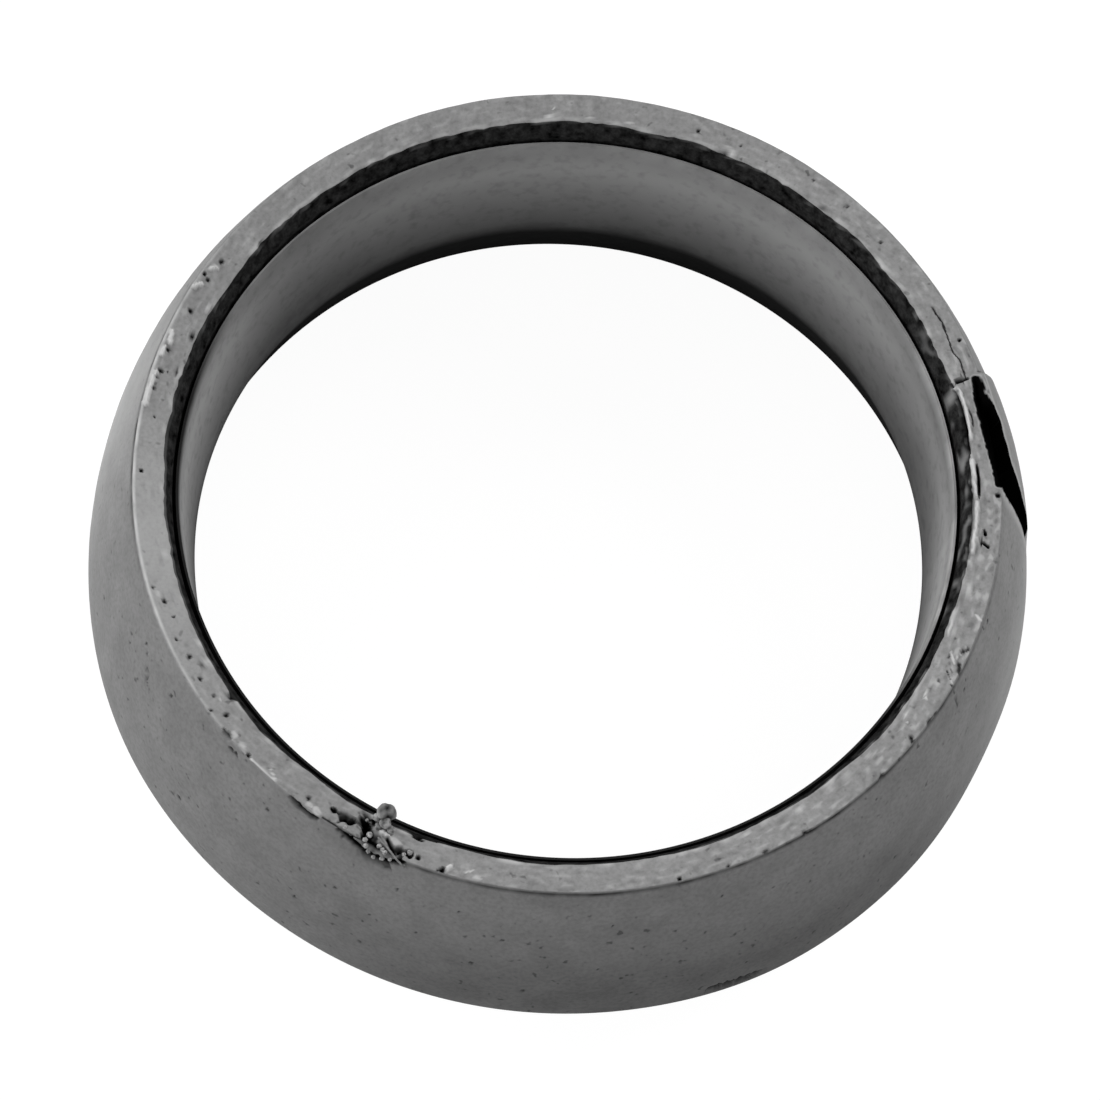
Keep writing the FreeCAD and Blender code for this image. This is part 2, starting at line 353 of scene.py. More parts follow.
# Dents and dark specks on the land, as (angle, radius, size)
LAND_PITS = ((248.4, 26.92, 0.52), (248.9, 27.35, 0.34), (245.8, 27.42, 0.3), (246.7, 27.4, 0.26),
             (244.1, 27.33, 0.2), (240.4, 27.6, 0.16), (255.2, 26.35, 0.22), (254.2, 28.0, 0.24),
             (256.4, 27.7, 0.2), (259.9, 28.0, 0.22), (227.1, 28.2, 0.32), (230.9, 28.05, 0.2),
             (55.4, 26.5, 0.24), (72.3, 26.35, 0.3), (70.3, 27.28, 0.12), (76.8, 27.19, 0.14),
             (58.6, 27.55, 0.12), (52.3, 27.54, 0.12), (45.1, 27.3, 0.12), (26.6, 27.88, 0.14),
             (154.0, 27.51, 0.18), (156.9, 27.94, 0.16), (157.3, 27.5, 0.18), (162.6, 27.46, 0.15),
             (160.5, 26.4, 0.18), (166.0, 26.6, 0.16), (169.3, 27.64, 0.16), (172.6, 27.6, 0.16),
             (173.7, 27.75, 0.12), (175.4, 27.7, 0.12), (179.5, 27.24, 0.14), (187.6, 27.66, 0.13),
             (204.5, 27.85, 0.12), (206.8, 27.41, 0.15), (209.3, 27.18, 0.13), (212.4, 27.62, 0.14),
             (215.2, 27.32, 0.16), (216.8, 26.91, 0.15), (218.7, 27.48, 0.15), (221.6, 27.3, 0.12),
             (223.3, 28.0, 0.13), (224.8, 27.43, 0.16), (222.9, 26.4, 0.26), (148.2, 26.36, 0.14),
             (150.8, 26.57, 0.12), (301.1, 28.2, 0.22), (306.8, 28.28, 0.24), (289.6, 28.02, 0.14),
             (296.0, 28.1, 0.14), (3.1, 27.94, 0.16), (345.1, 28.4, 0.16), (325.7, 27.9, 0.16),
             (338.4, 27.1, 0.12), (334.6, 27.3, 0.14), (341.5, 27.0, 0.1), (319.3, 28.2, 0.14))

# Bright rubbed spots, as (angle, radius, size)
LAND_GLINTS = ((155.4, 27.62, 0.24), (160.8, 26.55, 0.16), (165.6, 26.75, 0.14), (71.3, 26.62, 0.3),
               (86.9, 26.6, 0.1), (92.8, 26.62, 0.1), (81.4, 26.5, 0.1), (222.6, 27.05, 0.14),
               (216.7, 26.62, 0.14), (227.6, 27.75, 0.26), (229.4, 27.85, 0.22), (242.3, 27.95, 0.3),
               (241.2, 27.9, 0.2), (250.9, 27.0, 0.28), (252.6, 27.2, 0.4), (19.6, 26.5, 0.22),
               (264.2, 27.9, 0.2), (38.2, 26.5, 0.14), (205.6, 27.6, 0.2), (300.2, 26.6, 0.16),
               (308.0, 26.7, 0.2), (349.0, 26.8, 0.22), (200.0, 26.6, 0.2))

# Marks on the wall, as (angle, height, size) and as rows of (angle, height)
WALL_PITS = ((262.8, 17.3, 0.16), (265.1, 12.4, 0.2), (258.3, 14.2, 0.16), (271.5, 9.8, 0.18),
             (247.6, 15.2, 0.18), (243.0, 11.7, 0.16), (251.9, 10.6, 0.2), (289.9, 14.6, 0.16),
             (312.3, 14.9, 0.14), (318.8, 11.2, 0.17), (268.4, 15.5, 0.15), (255.0, 17.6, 0.14),
             (233.1, 14.8, 0.15), (224.5, 10.9, 0.17), (199.0, 13.2, 0.14), (236.4, 17.9, 0.14),
             (207.5, 15.9, 0.14), (206.9, 16.6, 0.12), (209.8, 17.9, 0.16), (210.7, 17.6, 0.14),
             (213.9, 15.9, 0.12), (208.4, 12.0, 0.16), (217.4, 17.9, 0.12), (216.8, 16.0, 0.13),
             (281.3, 17.2, 0.14), (294.8, 18.0, 0.15), (306.4, 9.3, 0.16), (302.2, 13.0, 0.12),
             (279.8, 12.8, 0.14), (276.9, 12.5, 0.12), (284.4, 8.9, 0.13), (297.5, 9.7, 0.11),
             (336.4, 18.6, 0.14), (337.2, 19.1, 0.12), (334.0, 17.9, 0.12), (345.6, 19.5, 0.15))
WALL_SCRATCHES = (((334.7, 20.1), (334.4, 19.2), (334.2, 18.3)), ((212.0, 16.9), (212.9, 16.3), (213.6, 15.9)),
                  ((287.9, 17.6), (286.9, 16.9), (286.8, 16.5)), ((283.2, 19.3), (283.4, 18.9)),
                  ((344.3, 19.9), (344.2, 19.3)))
WALL_CHIPS = ((228.6, 19.5, 0.34), (229.4, 19.6, 0.26), (331.5, 14.1, 0.2), (335.5, 12.7, 0.14),
              (346.9, 12.8, 0.14), (319.1, 20.0, 0.25), (322.4, 20.1, 0.14))
WALL_CRESCENT = ((238.9, 20.02), (240.3, 19.86), (241.6, 19.78), (242.6, 19.82))
WALL_BURST = ((246.0, 20.1), (249.2, 19.6), (250.8, 19.35), (252.6, 19.5), (254.8, 19.9))

# The burst: grains as (angle, radius, height over the land, size), the pulled strand's route, and
# the lump's lobes as (angle, radius, height, size, soot)
GRAINS = ((249.6, 27.6, 0.0, 0.19), (249.4, 28.0, -0.05, 0.16), (249.8, 28.3, -0.2, 0.15),
          (250.3, 28.45, -0.65, 0.14), (251.4, 28.0, 0.0, 0.16), (251.9, 28.1, -0.02, 0.14),
          (252.3, 28.2, -0.05, 0.15), (251.1, 28.6, -0.85, 0.13), (252.2, 28.5, -0.6, 0.15),
          (253.2, 28.4, -0.4, 0.12), (248.9, 26.6, -0.05, 0.13), (248.2, 26.75, -0.3, 0.12),
          (255.2, 27.6, 0.0, 0.17), (254.6, 27.85, -0.05, 0.13), (246.4, 27.9, -0.05, 0.14))
GRAIN_SOOT = 0.15
STRAND = ((250.7, 27.5, 0.0), (251.6, 27.72, 0.12), (252.8, 28.0, 0.12), (254.1, 28.35, -0.05),
          (255.3, 28.55, -0.5))
STRAND_THICKNESS = 0.06
STRAND_SIDES = 10
STRAND_SOOT = 0.45
LUMP = ((250.3, 25.95, 20.45, 0.56, 0.5), (250.1, 26.15, 19.9, 0.5, 0.6), (249.4, 26.5, 20.35, 0.25, 0.0),
        (250.8, 26.6, 20.4, 0.36, 0.1), (251.8, 26.75, 20.0, 0.26, 0.1), (250.2, 26.85, 19.95, 0.28, 0.4),
        (249.0, 26.8, 19.85, 0.2, 0.9))
LUMP_SEED = 20
BUMPS_ACROSS = 1.4
BUMP_SHARE = 0.25
# Painted shade in the crumbs' dents, for each unit of bump
BUMP_SHADE = 0.9

# Sockets of a node that mixes colours, and sizes of what the finishes show
MIX_SHARE, MIX_BELOW, MIX_ABOVE, MIX_COLOUR = 0, 6, 7, 2
SPECK_MM = 0.6
BORE_CLOUD_MM = 3.5
BORE_STREAK_MM = 0.8
DARK_SHARE = 0.6

# Painted shade in the bore, by height: it gets paler going up, duller under its brim, and darkest down at its
# flare
BORE_PALER = (7.5, 15.5)
BORE_BRIM = (16, 19)
BORE_FLARE_SHADE = (8.4, 5.6)
BORE_CLOUD_LIFT = 2.0


def straight(start, end, rows):
    """Section points from start up to but not onto end."""
    return [(start[0] + (end[0] - start[0]) * i / rows, start[1] + (end[1] - start[1]) * i / rows)
            for i in range(rows)]


def bent(start, control, end, rows):
    """The same along a parabola that a control point pulls out of line."""
    points = []
    for i in range(rows):
        t = i / rows
        points.append(tuple((1 - t) ** 2 * start[k] + 2 * t * (1 - t) * control[k] + t * t * end[k]
                            for k in (0, 1)))
    return points


def towards(corner, other, distance):
    """The point on the way from a corner to another point, at a distance from the corner."""
    run = math.dist(corner, other)
    return tuple(corner[k] + (other[k] - corner[k]) * distance / run for k in (0, 1))


def wall_radius(z):
    """The radius of the bulging outer wall at a height."""
    t = (HEIGHT - z) / (HEIGHT - WIDEST_Z)
    return NOSE_RADIUS + (WIDEST_RADIUS - NOSE_RADIUS) * t + 4 * WALL_BULGE * t * (1 - t)


def land_z(radius):
    """The height of the dished land at a radius."""
    share = (radius - LAND_INNER_RADIUS) / (NOSE_RADIUS - LAND_INNER_RADIUS)
    return LAND_INNER_Z + share * (HEIGHT - LAND_INNER_Z)


def section_points():
    """The closed section of the ring, from the seat outwards and up, over the rim and down the bore.

    The last number of each stretch is how many rows of faces it gives.
    """
    seat_inner = (SEAT_INNER_RADIUS, 0)
    seat_outer = (SEAT_OUTER_RADIUS, 0)
    widest = (WIDEST_RADIUS, WIDEST_Z)
    nose = (NOSE_RADIUS, HEIGHT)
    land_inner = (LAND_INNER_RADIUS, LAND_INNER_Z)
    chamfer_foot = (GAP_OUTER, CHAMFER_FOOT_Z)
    gap_floor = (GAP_OUTER, LINER_Z - GAP_DEPTH)
    liner_outer = (BORE_RADIUS + LINER_EDGE, LINER_Z)
    liner_inner = (BORE_RADIUS, LINER_Z)
    flare_top = (BORE_RADIUS, FLARE_Z)
    bulge = ((NOSE_RADIUS + WIDEST_RADIUS) / 2 + 2 * WALL_BULGE, (HEIGHT + WIDEST_Z) / 2)
    seat_low = towards(seat_outer, seat_inner, SEAT_ROUNDING)
    seat_high = towards(seat_outer, widest, SEAT_ROUNDING)
    widest_low = towards(widest, seat_outer, WIDEST_ROUNDING)
    widest_high = towards(widest, bulge, WIDEST_ROUNDING)
    nose_low = towards(nose, bulge, NOSE_ROUNDING)
    nose_high = towards(nose, land_inner, NOSE_ROUNDING)
    shoulder = towards(nose, bulge, SHOULDER_ROWS)
    lip_high = towards(land_inner, nose, LIP_ROUNDING)
    lip_low = towards(land_inner, chamfer_foot, LIP_ROUNDING)
    points = straight(seat_inner, seat_low, 2) + bent(seat_low, seat_outer, seat_high, 3)
    points += straight(seat_high, widest_low, 4) + bent(widest_low, widest, widest_high, 4)
    points += bent(widest_high, bulge, shoulder, 20) + straight(shoulder, nose_low, 6)
    points += bent(nose_low, nose, nose_high, 3)
    points += straight(nose_high, lip_high, 14) + bent(lip_high, land_inner, lip_low, 2)
    points += straight(lip_low, chamfer_foot, 7) + straight(chamfer_foot, gap_floor, 3)
    points += straight(gap_floor, liner_outer, 3) + straight(liner_outer, liner_inner, 1)
    return points + straight(liner_inner, flare_top, 8) + straight(flare_top, seat_inner, 5)


def ring_place(point):
    """A mesh point in ring coordinates."""
    x, y, z = point / MM
    return math.degrees(math.atan2(y, x)) % 360, math.hypot(x, y), z


def from_right(angle):
    """An angle as -180 to 180 degrees, with 0 at the right of the picture."""
    return (angle + 180) % 360 - 180


def within(value, limits):
    return limits[0] < value < limits[1]


def runs_round(edge):
    """Whether an edge lies along a circle round the axis."""
    a, b = (ring_place(vert.co) for vert in edge.verts)
    return abs(a[1] - b[1]) + abs(a[2] - b[2]) < SAME_ROW


def refine_rim(bm):
    """Divides the outer land and the top of the wall more finely round the ring, for their chips."""
    edges = []
    for edge in bm.edges:
        _, r, z = ring_place(edge.verts[0].co)
        if z > FINE_RIM_Z - FINE_RIM_SLOPE * r and runs_round(edge):
            edges.append(edge)
    bmesh.ops.subdivide_edges(bm, edges=edges, cuts=RIM_CUTS, use_grid_fill=True)


def refine_faces(bm, wanted, cuts):
    """Divides the faces whose middle is wanted."""
    edges = set()
    for face in bm.faces:
        if wanted(*ring_place(face.calc_center_median())):
            edges.update(face.edges)
    bmesh.ops.subdivide_edges(bm, edges=list(edges), cuts=cuts, use_grid_fill=True)


def at_tear(angle, r, z):
    return within(angle, TEAR_ANGLES) and within(z, TEAR_HEIGHTS) and r > NOSE_RADIUS - EDGE_MARGIN


def at_lip(angle, r, z):
    return within(from_right(angle), LIP_ANGLES) and z > CHAMFER_FOOT_Z and GAP_OUTER < r < LIP_OUTER_RADIUS


def at_wall_mark(angle, r, z):
    """At a pit on the wall, or at the flake gone from the widest edge."""
    if r < NOSE_RADIUS + EDGE_MARGIN:
        return False
    if RIM_CHIP[0] - MARK_MARGIN < angle < RIM_CHIP[1] + MARK_MARGIN and within(z, RIM_CHIP_HEIGHTS):
        return True
    return any(abs(angle - middle) < MARK_MARGIN and abs(z - height) < PIT_REACH
               for middle, height, _ in WALL_PITS)


def at_burst(angle, r, z):
    return within(angle, BURST_ANGLES) and z > BURST_LOW_Z and r > CHAMFER_MIDDLE_RADIUS


def ring_mesh():
    """The plain ring: its section spun once round the axis, then divided more where it is worn."""
    bm = bmesh.new()
    loop = [bm.verts.new((r * MM, 0, z * MM)) for r, z in section_points()]
    edges = [bm.edges.new((a, b)) for a, b in zip(loop, loop[1:] + loop[:1])]
    bmesh.ops.spin(bm, geom=loop + edges, cent=(0, 0, 0), axis=(0, 0, 1), dvec=(0, 0, 0),
                   angle=2 * math.pi, steps=STEPS_ROUND, use_merge=True, use_duplicate=False)
    bmesh.ops.remove_doubles(bm, verts=bm.verts, dist=SAME_PLACE * MM)
    bmesh.ops.recalc_face_normals(bm, faces=bm.faces)
    refine_rim(bm)
    refine_faces(bm, at_tear, TEAR_CUTS)
    refine_faces(bm, at_lip, LIP_CUTS)
    refine_faces(bm, at_wall_mark, MARK_CUTS)
    refine_faces(bm, at_burst, BURST_CUTS)
    return bm


def smooth(edge_low, edge_high, value):
    """Rises from 0 to 1 between two values, level at both; takes numbers or arrays."""
    t = np.clip((value - edge_low) / (edge_high - edge_low), 0.0, 1.0)
    return t * t * (3 - 2 * t)


def hump(value, middle, spread, power=2):
    """1 at a middle value, and falling to 0 on both sides of it over a spread."""
    return np.exp(-((value - middle) / spread) ** power)


def level(levels, pattern):
    """A share everywhere, with another added where the pattern is full."""
    return levels[0] + levels[1] * pattern


def segment_distance(points, start, end):
    """The distance of each point from a straight piece."""
    run = end - start
    t = np.clip((points - start) @ run / (run @ run), 0, 1)
    return np.linalg.norm(points - start - t[:, None] * run, axis=1)


def route_distance(points, route):
    """The distance of each point from the nearest piece of a route."""
    return np.min([segment_distance(points, a, b) for a, b in zip(route, route[1:])], axis=0)


def inside(points, outline):
    """Whether each flat point lies inside a closed outline."""
    found = np.zeros(len(points), bool)
    for (x0, y0), (x1, y1) in zip(outline, outline[1:] + outline[:1]):
        if y0 != y1:
            spans = (y0 > points[:, 1]) != (y1 > points[:, 1])
            found ^= spans & (points[:, 0] < x0 + (x1 - x0) * (points[:, 1] - y0) / (y1 - y0))
    return found


def arc_length(angle):
    """An angle as a length in millimetres along the wall at the tear."""
    return np.radians(angle) * TEAR_RADIUS


def place(angle, radius, z):
    """Ring coordinates as x, y and z."""
    turn = np.radians(angle)
    return np.array([radius * np.cos(turn), radius * np.sin(turn), z])


def rough(points, size, offset=0.0):
    """Smooth random values between about -1 and 1, with bumps of a size in millimetres."""
    shift = Vector([offset * share for share in OFFSET_SHARES])
    return np.array([noise.noise(Vector(point) / size + shift) for point in points])


class WearAndShading:
    """The worn ring's points, and how dark and how pale each of them is, with sooty and worn places and painted
    light and shade.
    """

    def __init__(self, mesh):
        count = len(mesh.vertices)
        flat = np.empty(count * 3, np.float32)
        mesh.vertices.foreach_get("co", flat)
        self.points = flat.reshape(-1, 3).astype(float) / MM
        mesh.vertex_normals.foreach_get("vector", flat)
        self.normals = flat.reshape(-1, 3).astype(float)
        self.plain = self.points.copy()
        self.angle = np.degrees(np.arctan2(self.points[:, 1], self.points[:, 0])) % 360
        self.from_right = from_right(self.angle)
        self.r = np.hypot(self.points[:, 0], self.points[:, 1])
        self.z = self.points[:, 2].copy()
        self.soot = np.zeros(count)
        self.bare = np.zeros(count)
        self.ragged = rough(self.plain, EDGE_RAG_SIZE)
        self.patchy = (1 + rough(self.plain, *PATCHES)) / 2

    def move(self, dr, dz=0.0):
        """Moves points away from the axis and upwards."""
        turn = np.radians(self.angle)
        self.points[:, 0] += np.cos(turn) * dr
        self.points[:, 1] += np.sin(turn) * dr
        self.points[:, 2] += dz

    def swell(self, height):
        """Moves points straight out of the plain surface."""
        self.points += self.normals * height[:, None]

    def blacken(self, share):
        self.soot = np.maximum(self.soot, share)

    def lighten(self, share):
        self.bare = np.maximum(self.bare, share)

    def spot(self, middle, size, shape):
        """A round dent of a size."""
        half, height, soot = shape
        self.mark([middle], half * size, height * size, soot)

    def mark(self, route, half, height, soot=0.0, bare=0.0):
        """A groove or ridge along a route, or round a single place."""
        route = np.array(route, float)
        middle = route.mean(axis=0)
        reach = np.linalg.norm(route - middle, axis=1).max() + MARK_REACH * half
        near = np.where(np.abs(self.plain - middle).max(axis=1) < reach)[0]
        if len(near) == 0:
            return
        if len(route) == 1:
            away = np.linalg.norm(self.plain[near] - route[0], axis=1)
        else:
            away = route_distance(self.plain[near], route)
        away = away * (1 + MARK_RAG * self.ragged[near])
        share = 1 - smooth(MARK_CORE * half, half, away)
        self.points[near] += self.normals[near] * (height * share)[:, None]
        self.soot[near] = np.maximum(self.soot[near], soot * share)
        self.bare[near] = np.maximum(self.bare[near], bare * share)


def on_land(angle, radius):
    return place(angle, radius, land_z(radius))


def on_wall(angle, z):
    return place(angle, wall_radius(z), z)


def uneven_shape(wear_and_shading):
    """The press's unevenness: a little out of round, wavy faces and a ragged inner edge of the land."""
    low_wall = smooth(NOSE_RADIUS, OUT_OF_ROUND_RADIUS, wear_and_shading.r)
    for middle, spread, change in OUT_OF_ROUND:
        wear_and_shading.move(low_wall * change * hump(from_right(wear_and_shading.angle - middle), 0, spread))
    outside = (wear_and_shading.r > CHAMFER_MIDDLE_RADIUS) & (wear_and_shading.z > FACE_LOW_Z)
    wear_and_shading.swell(outside * FACE_WAVE_HEIGHT * rough(wear_and_shading.plain, *FACE_WAVES))
    wear_and_shading.swell(outside * FACE_CRUMB_HEIGHT * rough(wear_and_shading.plain, *FACE_CRUMBS))
    chamfer = np.clip((wear_and_shading.z - CHAMFER_FOOT_Z) / (LAND_INNER_Z - CHAMFER_FOOT_Z), 0, 1)
    past_lip = smooth(LAND_INNER_RADIUS, LAND_INNER_RADIUS + LIP_WIDTH, wear_and_shading.r)
    lip = chamfer * (1 - past_lip) * (wear_and_shading.r > GAP_OUTER)
    turned = place(wear_and_shading.angle, LAND_INNER_RADIUS, np.zeros(len(wear_and_shading.angle))).T
    teeth = rough(turned, *LIP_TEETH)
    calm = 1 - NEAR_CALM * hump(wear_and_shading.angle, *NEAR_SIDE)
    wear_and_shading.move(lip * (LIP_WAVE_DEPTH * rough(turned, *LIP_WAVES) + LIP_TOOTH_DEPTH * teeth * calm))
    wear_and_shading.move(0, -lip * LIP_DROP * np.abs(teeth))


def lift_flap(wear_and_shading):
    """The flap stands proud of the wall, with painted shade along the step at its far end."""
    foot = smooth(FLAP_FOOT_Z, FLAP_FULL_Z, wear_and_shading.z)
    end = np.minimum(FLAP_END + FLAP_SLANT * (HEIGHT - wear_and_shading.z), FLAP_FURTHEST)
    started = smooth(FLAP_START, FLAP_START + FLAP_RISE, wear_and_shading.angle)
    ended = smooth(-FLAP_DROP, 0.0, wear_and_shading.angle - end)
    hinge = smooth(FLAP_HINGE_RADIUS, FLAP_FULL_RADIUS, wear_and_shading.r)
    wear_and_shading.move(FLAP_LIFT * foot * started * (1 - ended) * hinge)
    # Painted shade: a dark line along the step at the flap's far end
    wear_and_shading.blacken(STEP_SHADE * hump(wear_and_shading.angle, end, FLAP_DROP) * (wear_and_shading.r > FLAP_FULL_RADIUS) * foot)


def open_pocket(wear_and_shading):
    """The pocket opens behind the flap's edge, painted black inside as shade over dark graphite, and rubbed
    beside it.
    """
    over_nose = np.clip(NOSE_RADIUS - wear_and_shading.r, 0, None)
    flat = np.column_stack((arc_length(wear_and_shading.angle), np.where(over_nose > 0, HEIGHT + over_nose, wear_and_shading.z)))
    outline = [(float(arc_length(angle)), way) for angle, way in TEAR]
    near = (wear_and_shading.angle < TEAR_REACH) & (wear_and_shading.z > TEAR_LOW_Z) & (wear_and_shading.r > SHOULDER_RADIUS)
    away = np.full(len(flat), FAR_AWAY)
    away[near] = route_distance(flat[near], np.array(outline + outline[:1]))
    signed = np.where(inside(flat, outline), away, -away) + TEAR_RAG * wear_and_shading.ragged
    sunk = near * smooth(*POCKET_EDGE, signed)
    slope = (POCKET_FLOOR_RADIUS - POCKET_TOP_RADIUS) / (HEIGHT - POCKET_FLOOR_Z)
    now = np.hypot(wear_and_shading.points[:, 0], wear_and_shading.points[:, 1])
    floor = np.minimum(POCKET_TOP_RADIUS + slope * (HEIGHT - wear_and_shading.z + POCKET_DROP), now)
    wear_and_shading.move(sunk * (floor - now), -sunk * POCKET_DROP)
    # Painted shade: the pocket and a little past its edge are made black
    wear_and_shading.blacken(near * smooth(-TEAR_SHADE_EDGE - TEAR_SHADE_FADE, -TEAR_SHADE_EDGE, signed))
    flap = near * (wear_and_shading.angle < FLAP_RUB_END) * (wear_and_shading.r > NOSE_RADIUS)
    wear_and_shading.lighten(FLAP_RUB_LEVEL * flap * (1 - smooth(*FLAP_RUB, -signed)))
    shoulder = near * (wear_and_shading.r < NOSE_RADIUS)
    wear_and_shading.lighten(SHOULDER_RUB_LEVEL * shoulder * (1 - smooth(*SHOULDER_RUB, -signed)))


def wear_rim(wear_and_shading):
    """Cracks, folds, scratches, pits and rubbed spots on the land, the wall and their edges."""
    for half, height, soot, bare, routes in LAND_MARKS:
        for route in routes:
            wear_and_shading.mark([on_land(*point) for point in route], half, height, soot, bare)
    for angle, radius, size in LAND_PITS:
        wear_and_shading.spot(on_land(angle, radius), size, LAND_PIT_SPOT)
    for angle, radius, size in LAND_GLINTS:
        route = [on_land(angle - size, radius), on_land(angle + size, radius + GLINT_SLANT * size)]
        wear_and_shading.mark(route, size, GLINT_HEIGHT * size, bare=GLINT_BARE)
    for angle, z, size in WALL_PITS:
        wear_and_shading.spot(on_wall(angle, z), size, WALL_PIT_SPOT)
    for angle, z, size in WALL_CHIPS:
        wear_and_shading.spot(on_wall(angle, z), size, WALL_CHIP_SPOT)
    for route in WALL_SCRATCHES:
        wear_and_shading.mark([on_wall(*point) for point in route], *SCRATCH_GROOVE)
    wear_and_shading.mark([on_wall(*point) for point in WALL_CRESCENT], *CRESCENT_GROOVE)
    wear_and_shading.mark([on_wall(*point) for point in WALL_BURST], *BURST_GROOVE)
    start, end, z = RIM_CHIP
    wear_and_shading.mark([on_wall(angle, z) for angle in (start, (start + end) / 2, end)], *RIM_CHIP_GROOVE)


def edge_wear_and_shading(wear_and_shading):
    """The nose's edge with a painted highlight at the left, painted shade in its crease at the near side and
    the left, and the rubbed bright lip.
    """
    # Painted highlight: the rounded nose's edge is made paler at the left, where it meets the light
    nose = hump(wear_and_shading.r, *NOSE_HIGHLIGHT_RADIUS) * hump(wear_and_shading.z, *NOSE_HIGHLIGHT_Z)
    wear_and_shading.lighten(nose * hump(wear_and_shading.angle, *LEFT_NOSE_HIGHLIGHT, power=4) * level(NOSE_HIGHLIGHT_LEVELS, wear_and_shading.patchy))
    # Painted shade: the crease between the land and the wall is darkened at the near side and the left, over a
    # shallow groove
    sides = hump(wear_and_shading.angle, *NEAR_CREASE, power=4) + hump(wear_and_shading.angle, *LEFT_CREASE, power=4)
    crease = sides * hump(wear_and_shading.r, *CREASE_RADIUS) * hump(wear_and_shading.z, *CREASE_Z)
    wear_and_shading.blacken(crease * level(CREASE_SHADE_LEVELS, wear_and_shading.patchy))
    wear_and_shading.swell(-CREASE_DEPTH * crease)
    lip = hump(wear_and_shading.r, *LIP_RUB_RADIUS) * (wear_and_shading.z > LIP_RUB_Z)
    wear_and_shading.lighten(LIP_RUB_LEVEL * lip * smooth(*LIP_RUB_FROM, wear_and_shading.patchy))


def gap_wear_and_highlight(wear_and_shading):
    """The bore skin's edge, sooty near and left and bright elsewhere from wear and a painted highlight, and
    bright spots on the chamfer.
    """
    on_edge = (wear_and_shading.z > LINER_Z - LINER_MARGIN) * (wear_and_shading.z < LINER_Z + EDGE_MARGIN)
    liner_edge = on_edge * (wear_and_shading.r < BORE_RADIUS + LINER_EDGE + LINER_MARGIN)
    near_and_left = smooth(*NEAR_AND_LEFT[0], wear_and_shading.angle) * (1 - smooth(*NEAR_AND_LEFT[1], wear_and_shading.angle))
    right = smooth(*RIGHT_SIDE[0], wear_and_shading.from_right) * (1 - smooth(*RIGHT_SIDE[1], wear_and_shading.from_right))
    wear_and_shading.blacken(LINER_SOOT_LEVEL * liner_edge * near_and_left)
    # Wear and a painted highlight: the skin's upturned edge is made bright, most of all at the right
    wear_and_shading.lighten(liner_edge * level(LINER_RUB_AND_HIGHLIGHT_LEVELS, right) * (1 - near_and_left) * wear_and_shading.patchy)
    raw = (wear_and_shading.z > CHAMFER_FOOT_Z - EDGE_MARGIN) * (wear_and_shading.z < LAND_INNER_Z) * (wear_and_shading.r < LAND_INNER_RADIUS)
    wear_and_shading.lighten(CHAMFER_RUB_LEVEL * raw * right * smooth(*CHAMFER_RUB_FROM, wear_and_shading.patchy))


def wear_land(wear_and_shading):
    """Long rubbed and sooty streaks along the land, most of all at the right, and its left side made paler."""
    land = (wear_and_shading.z > LAND_LOW_Z) * (wear_and_shading.r < NOSE_RADIUS) * (wear_and_shading.r > CHAMFER_MIDDLE_RADIUS)
    way_round = np.radians(wear_and_shading.angle) * LAND_MIDDLE_RADIUS / STREAK_LENGTH
    streaks = rough(np.column_stack((way_round, wear_and_shading.r, np.zeros(len(wear_and_shading.r)))), *STREAKS)
    rubbed = land * level(STREAK_RUB_LEVELS, hump(wear_and_shading.from_right, *RIGHT_RUB))
    wear_and_shading.lighten(rubbed * smooth(*STREAK_RUB_FROM, streaks))
    wear_and_shading.blacken(STREAK_SOOT_LEVEL * rubbed * smooth(*STREAK_SOOT_FROM, -streaks))
    wear_and_shading.swell(STREAK_DEPTH * land * streaks)
    wear_and_shading.lighten(LEFT_LAND_PALER_LEVEL * land * hump(wear_and_shading.angle, *LEFT_LAND_PALER))


def wall_light_and_shade(wear_and_shading):
    """Painted light that makes the wall paler at its left and right, and painted shade low down on its near
    side.
    """
    wall = (wear_and_shading.r > NOSE_RADIUS) * (wear_and_shading.z > WALL_LOW_Z)
    # Painted light: the wall's left and right sides are made paler, most of all low on the left, in cloudy
    # patches
    left = hump(wear_and_shading.angle, *LEFT_WALL_LIGHT) * (LEFT_WALL_LIGHT_LEVEL - LEFT_WALL_LIGHT_FADE * (wear_and_shading.z - LEFT_WALL_LIGHT_Z))
    right = hump(wear_and_shading.from_right, *RIGHT_WALL_LIGHT) * (1 - smooth(*RIGHT_WALL_LIGHT_HEIGHTS, wear_and_shading.z))
    painted_light = left + RIGHT_WALL_LIGHT_LEVEL * right
    wear_and_shading.lighten(wall * painted_light * level(WALL_LIGHT_CLOUD_LEVELS, rough(wear_and_shading.plain, *WALL_LIGHT_CLOUDS)))
    # Painted shade: the wall's near side is darkened, most of all low down, in cloudy patches
    low_down = 1 - smooth(*NEAR_WALL_SHADE_HEIGHTS, wear_and_shading.z)
    near_shade = hump(wear_and_shading.angle, *NEAR_WALL_SHADE, power=4) * level(NEAR_WALL_SHADE_LEVELS, low_down)
    wear_and_shading.blacken(wall * near_shade * level(WALL_SHADE_CLOUD_LEVELS, rough(wear_and_shading.plain, *WALL_SHADE_CLOUDS)))


def wear_bore(wear_and_shading):
    """Two cloudy smudges in the bore."""
    bore = (wear_and_shading.r < BORE_RADIUS + EDGE_MARGIN) * (wear_and_shading.z > FLARE_Z)
    smudge = sum(share * hump(wear_and_shading.angle, middle, spread) for middle, spread, share in BORE_SMUDGES)
    wear_and_shading.blacken(bore * smudge * level(BORE_CLOUD_LEVELS, rough(wear_and_shading.plain, *BORE_CLOUDS)))


